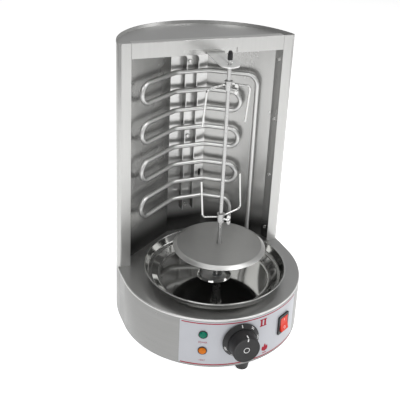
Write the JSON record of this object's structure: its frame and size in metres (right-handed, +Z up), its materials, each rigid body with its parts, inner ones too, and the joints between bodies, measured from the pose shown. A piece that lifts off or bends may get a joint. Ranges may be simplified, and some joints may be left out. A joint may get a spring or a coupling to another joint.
{
  "type": "rotisserie oven",
  "caption": "Upright countertop rotisserie oven: round base drum with controls, half-round heating cavity, driven vertical spit with forks and a drip pan.",
  "frame": {"origin": "on the table, at the centre of the oven's footprint including its knob", "axes": "+Z up, front (controls) towards -Y, back of the housing towards +Y, +X to the right seen from the front"},
  "size_m": [0.3, 0.356, 0.48],
  "materials": {
    "stainless": "fine vertical brushing, satin",
    "base_steel": "fine horizontal brushing, satin",
    "inner_steel": "satin sheet with faint heat tint",
    "zinc_steel": "zinc-plated pressed steel",
    "tube_steel": "polished sheathed heating tube",
    "spit_steel": "polished round bar",
    "pan_steel": "mirror-polished pressed sheet",
    "screw_steel": "nickel-plated screw",
    "wire_steel": "bright chromed wire",
    "foot_rubber": "black moulded rubber",
    "black_plastic": "black moulded heat-resistant plastic",
    "knob_grey": "charcoal moulded plastic",
    "label_film": "printed self-adhesive film",
    "green_lens": "translucent green lens",
    "orange_lens": "translucent orange lens",
    "red_rocker": "glossy red rocker",
    "motor_paint": "black stove enamel",
    "aluminium": "cast, plain",
    "white_ceramic": "unglazed white"
  },
  "bodies": {
    "casing": {"base_shell": "base_steel", "base_top_plate": "base_steel", "bottom_plate": "zinc_steel", "rubber_feet": "foot_rubber", "foot_screws": "screw_steel", "case_screws": "screw_steel", "housing_shell": "stainless", "header_band": "stainless", "top_lid": "stainless", "ceiling_plate": "inner_steel", "cavity_liner": "inner_steel", "liner_screws": "screw_steel", "heating_element": "tube_steel", "element_glands": "zinc_steel", "element_terminals": "white_ceramic", "element_bracket": "inner_steel", "bracket_screws": "screw_steel", "support_strap": "stainless", "strap_screws": "screw_steel", "motor_bracket": "zinc_steel", "gear_motor": "motor_paint", "motor_screws": "screw_steel", "shaft_bush": "zinc_steel", "control_label": "label_film", "thermostat_body": "aluminium", "green_lamp": "green_lens", "orange_lamp": "orange_lens", "lamp_nuts": "black_plastic", "switch_body": "black_plastic", "cord_gland": "black_plastic", "terminal_block": "white_ceramic"},
    "drive": {"drive_shaft": "spit_steel", "drive_socket": "spit_steel"},
    "spit": {"spit_rod": "spit_steel", "drive_key": "screw_steel", "neck_pin": "screw_steel", "spit_cap": "black_plastic", "meat_disc": "inner_steel", "disc_hub": "spit_steel"},
    "upper_fork": {"upper_fork_collar": "spit_steel", "upper_fork_prongs": "wire_steel"},
    "upper_wing_screw": {"upper_fork_wing_screw": "wire_steel"},
    "lower_fork": {"lower_fork_collar": "spit_steel", "lower_fork_prongs": "wire_steel"},
    "lower_wing_screw": {"lower_fork_wing_screw": "wire_steel"},
    "knob": {"thermostat_spindle": "zinc_steel", "knob_dial": "knob_grey", "knob_grip": "knob_grey"},
    "rocker": {"switch_rocker": "red_rocker"},
    "pan": {"drip_pan": "pan_steel"}
  },
  "joints": [
    {"name": "pan_lift", "type": "slide", "parent": "casing", "child": "pan", "axis": [0, 0, 1], "range_m": [0, 0.025]},
    {"name": "drive_spin", "type": "hinge", "parent": "casing", "child": "drive", "pos_m": [0, -0.02897, 0.13], "axis": [0, 0, 1], "continuous": true},
    {"name": "spit_lift", "type": "slide", "parent": "drive", "child": "spit", "axis": [0, 0, 1], "range_m": [0, 0.012]},
    {"name": "upper_fork_slide", "type": "slide", "parent": "spit", "child": "upper_fork", "axis": [0, 0, 1], "range_m": [-0.045, 0.01]},
    {"name": "upper_wing_screw_turn", "type": "hinge", "parent": "upper_fork", "child": "upper_wing_screw", "pos_m": [0.00386, -0.03356, 0.4235], "axis": [0.6428, -0.766, 0], "continuous": true},
    {"name": "lower_fork_slide", "type": "slide", "parent": "spit", "child": "lower_fork", "axis": [0, 0, 1], "range_m": [-0.03, 0.036]},
    {"name": "lower_wing_screw_turn", "type": "hinge", "parent": "lower_fork", "child": "lower_wing_screw", "pos_m": [0.00446, -0.03298, 0.2045], "axis": [0.7431, -0.6691, 0], "continuous": true},
    {"name": "thermostat_turn", "type": "hinge", "parent": "casing", "child": "knob", "pos_m": [-0.01255, -0.15947, 0.062], "axis": [-0.0785, -0.9969, 0], "range_deg": [-300, 0]},
    {"name": "rocker_tilt", "type": "hinge", "parent": "casing", "child": "rocker", "pos_m": [0.06899, -0.13248, 0.0605], "axis": [0.887, 0.4617, 0], "range_deg": [0, 16]}
  ]
}
